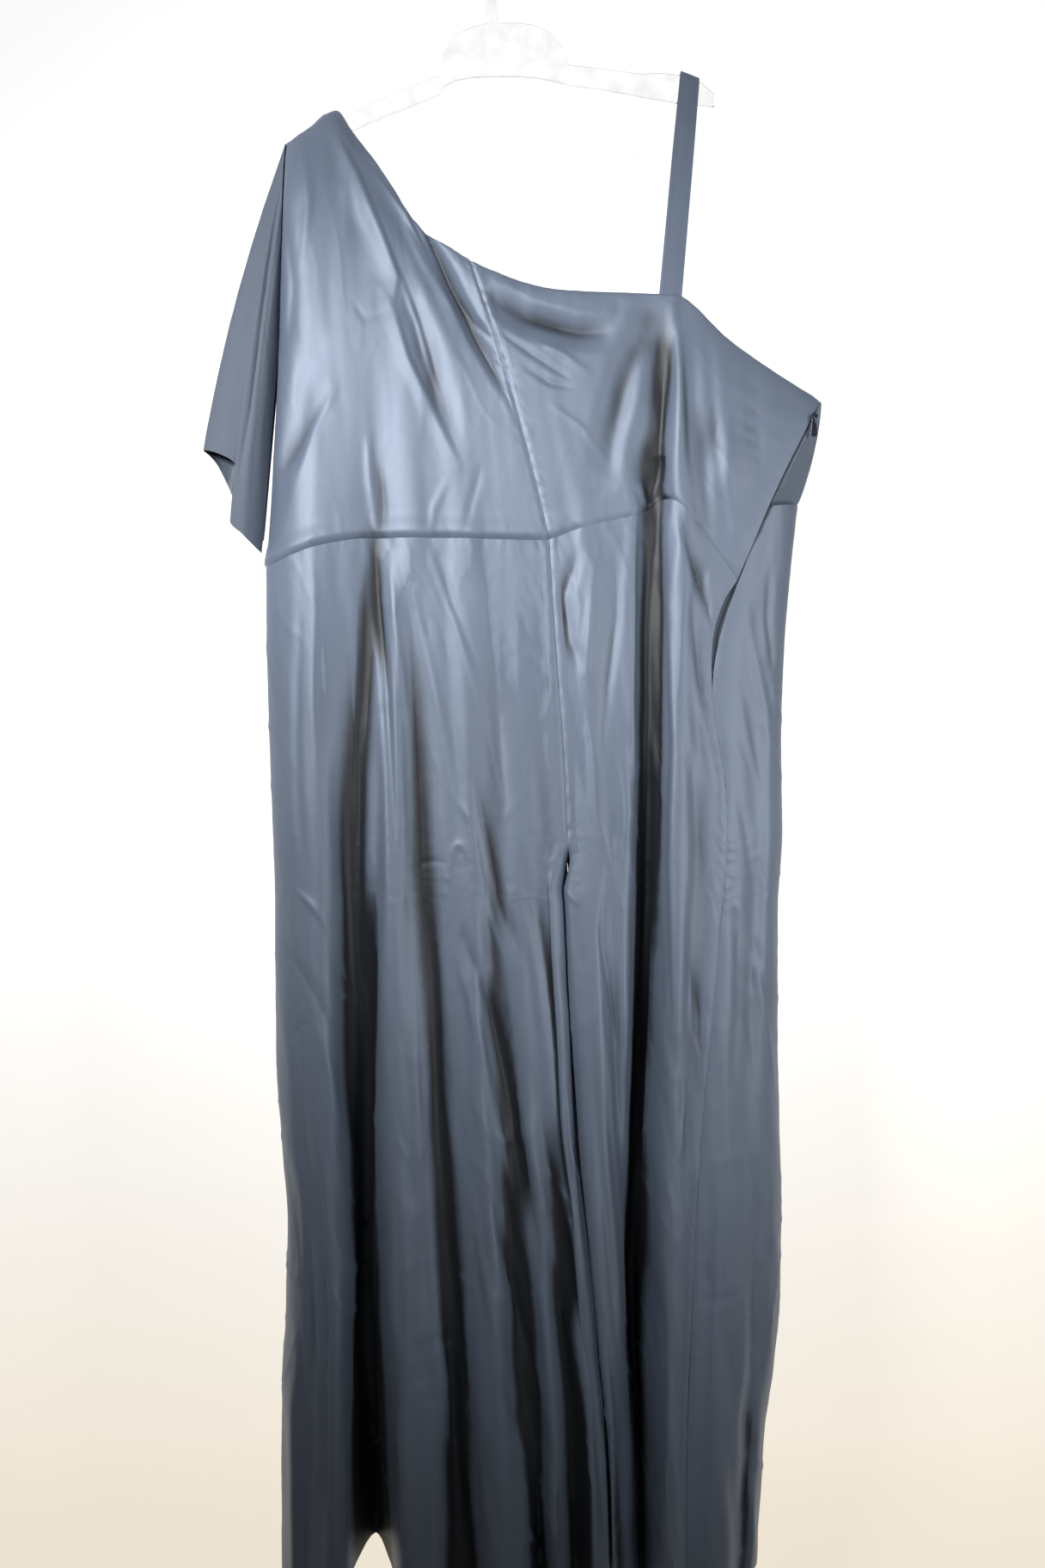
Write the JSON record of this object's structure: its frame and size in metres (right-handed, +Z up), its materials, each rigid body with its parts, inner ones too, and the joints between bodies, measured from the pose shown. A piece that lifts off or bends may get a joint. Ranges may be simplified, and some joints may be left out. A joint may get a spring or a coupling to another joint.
{
  "type": "one-shoulder wide-leg romper on clear hanger",
  "caption": "Full-length satin romper with one flutter-sleeved shoulder, one strap and wide legs, hanging flat on a clear plastic hanger with a wire hook.",
  "frame": {"origin": "where the hanger's hook bears on the rail or pin that holds it", "axes": "+Z up, -Y towards the garment's front, +X towards the wearer's left"},
  "size_m": [0.6122, 0.1274, 1.6037],
  "materials": {
    "satin": "slate blue satin, soft sheen",
    "zip_tape": "dark woven tape with closed teeth",
    "zip_metal": "dark polished metal",
    "clear_plastic": "clear moulded plastic",
    "hook_steel": "bright bent wire"
  },
  "bodies": {
    "garment": {"front_bodice_right": "satin", "front_bodice_left": "satin", "back_bodice": "satin", "flutter_sleeve": "satin", "front_leg_right": "satin", "front_leg_left": "satin", "back_leg_right": "satin", "back_leg_left": "satin", "shoulder_strap": "satin", "zip_tape": "zip_tape", "zip_slider": "zip_metal", "hanger_arms": "clear_plastic", "hanger_hook": "hook_steel"},
    "pull": {"zip_pull": "zip_metal"}
  },
  "joints": [
    {"name": "pull_hinge", "type": "hinge", "parent": "garment", "child": "pull", "pos_m": [0.3095, -0.02325, -0.471], "axis": [-1, 0, 0], "range_deg": [0, 150]}
  ]
}
